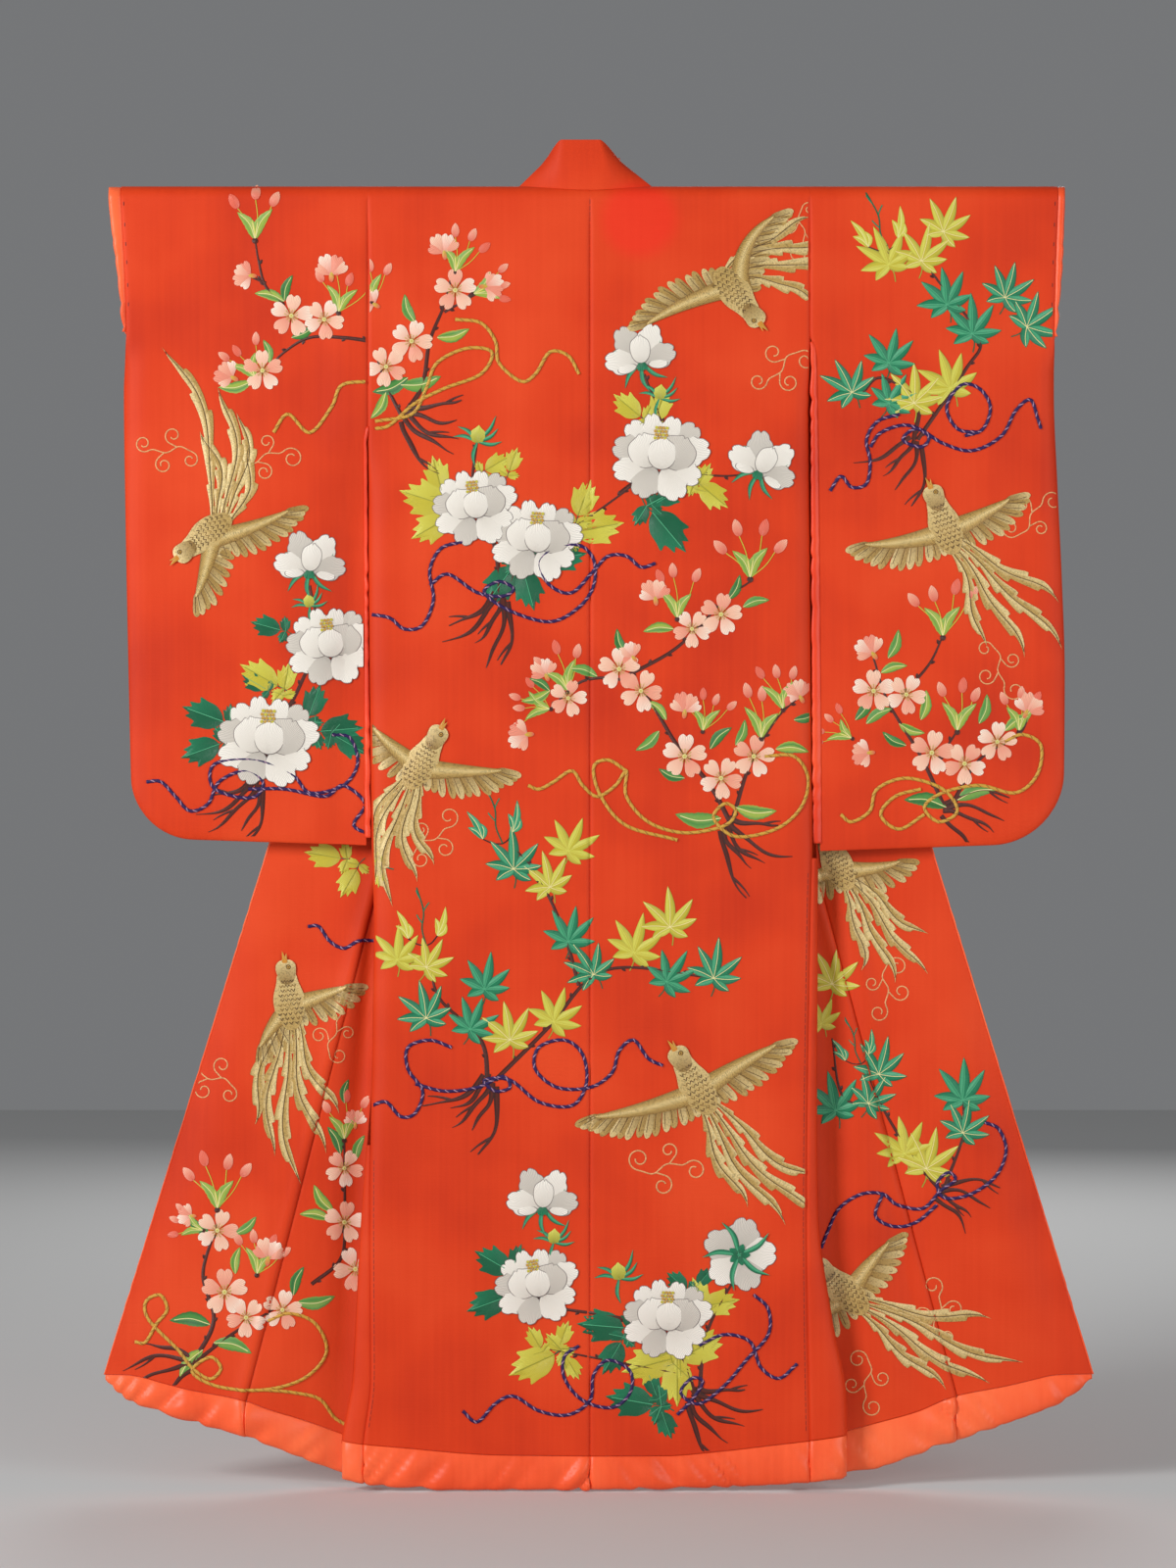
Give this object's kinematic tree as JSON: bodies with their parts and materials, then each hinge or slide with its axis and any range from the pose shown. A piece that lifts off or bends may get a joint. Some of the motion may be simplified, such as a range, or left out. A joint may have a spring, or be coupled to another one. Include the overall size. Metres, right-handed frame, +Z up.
{
  "type": "furisode kimono",
  "caption": "Long-sleeved silk kimono hung flat over a rod, back outwards, with both fronts turned out and a padded rolled hem.",
  "frame": {"origin": "middle of the shoulder fold, on the line of the rod that carries the garment", "axes": "+Z up, the garment's back faces -Y, and the wearer's right is at +X"},
  "size_m": [1.365, 0.0574, 1.8568],
  "materials": {
    "silk_red": "satin",
    "silk_lining": "satin",
    "silk_embroidery": "satin",
    "gold_thread": "satin"
  },
  "bodies": {
    "root": {"back_left": "silk_red", "front_left_hanging": "silk_red", "front_left_strip": "silk_red", "front_left_turned": "silk_red", "okumi_left": "silk_red", "collar_left": "silk_red", "collar_left_tail": "silk_red", "sleeve_left_back": "silk_red", "sleeve_left_front": "silk_red", "back_right": "silk_red", "front_right_hanging": "silk_red", "front_right_strip": "silk_red", "front_right_turned": "silk_red", "okumi_right": "silk_red", "collar_right": "silk_red", "collar_right_tail": "silk_red", "sleeve_right_back": "silk_red", "sleeve_right_front": "silk_red", "collar_back": "silk_red", "hem_back_left": "silk_lining", "hem_strip_left": "silk_lining", "hem_hanging_left": "silk_lining", "hem_turned_left": "silk_lining", "hem_okumi_left": "silk_lining", "wrist_edge_left_back": "silk_lining", "wrist_edge_left_front": "silk_lining", "slit_edge_left_back": "silk_lining", "slit_edge_left_front": "silk_lining", "hem_back_right": "silk_lining", "hem_strip_right": "silk_lining", "hem_hanging_right": "silk_lining", "hem_turned_right": "silk_lining", "hem_okumi_right": "silk_lining", "wrist_edge_right_back": "silk_lining", "wrist_edge_right_front": "silk_lining", "slit_edge_right_back": "silk_lining", "slit_edge_right_front": "silk_lining"}
  },
  "joints": []
}
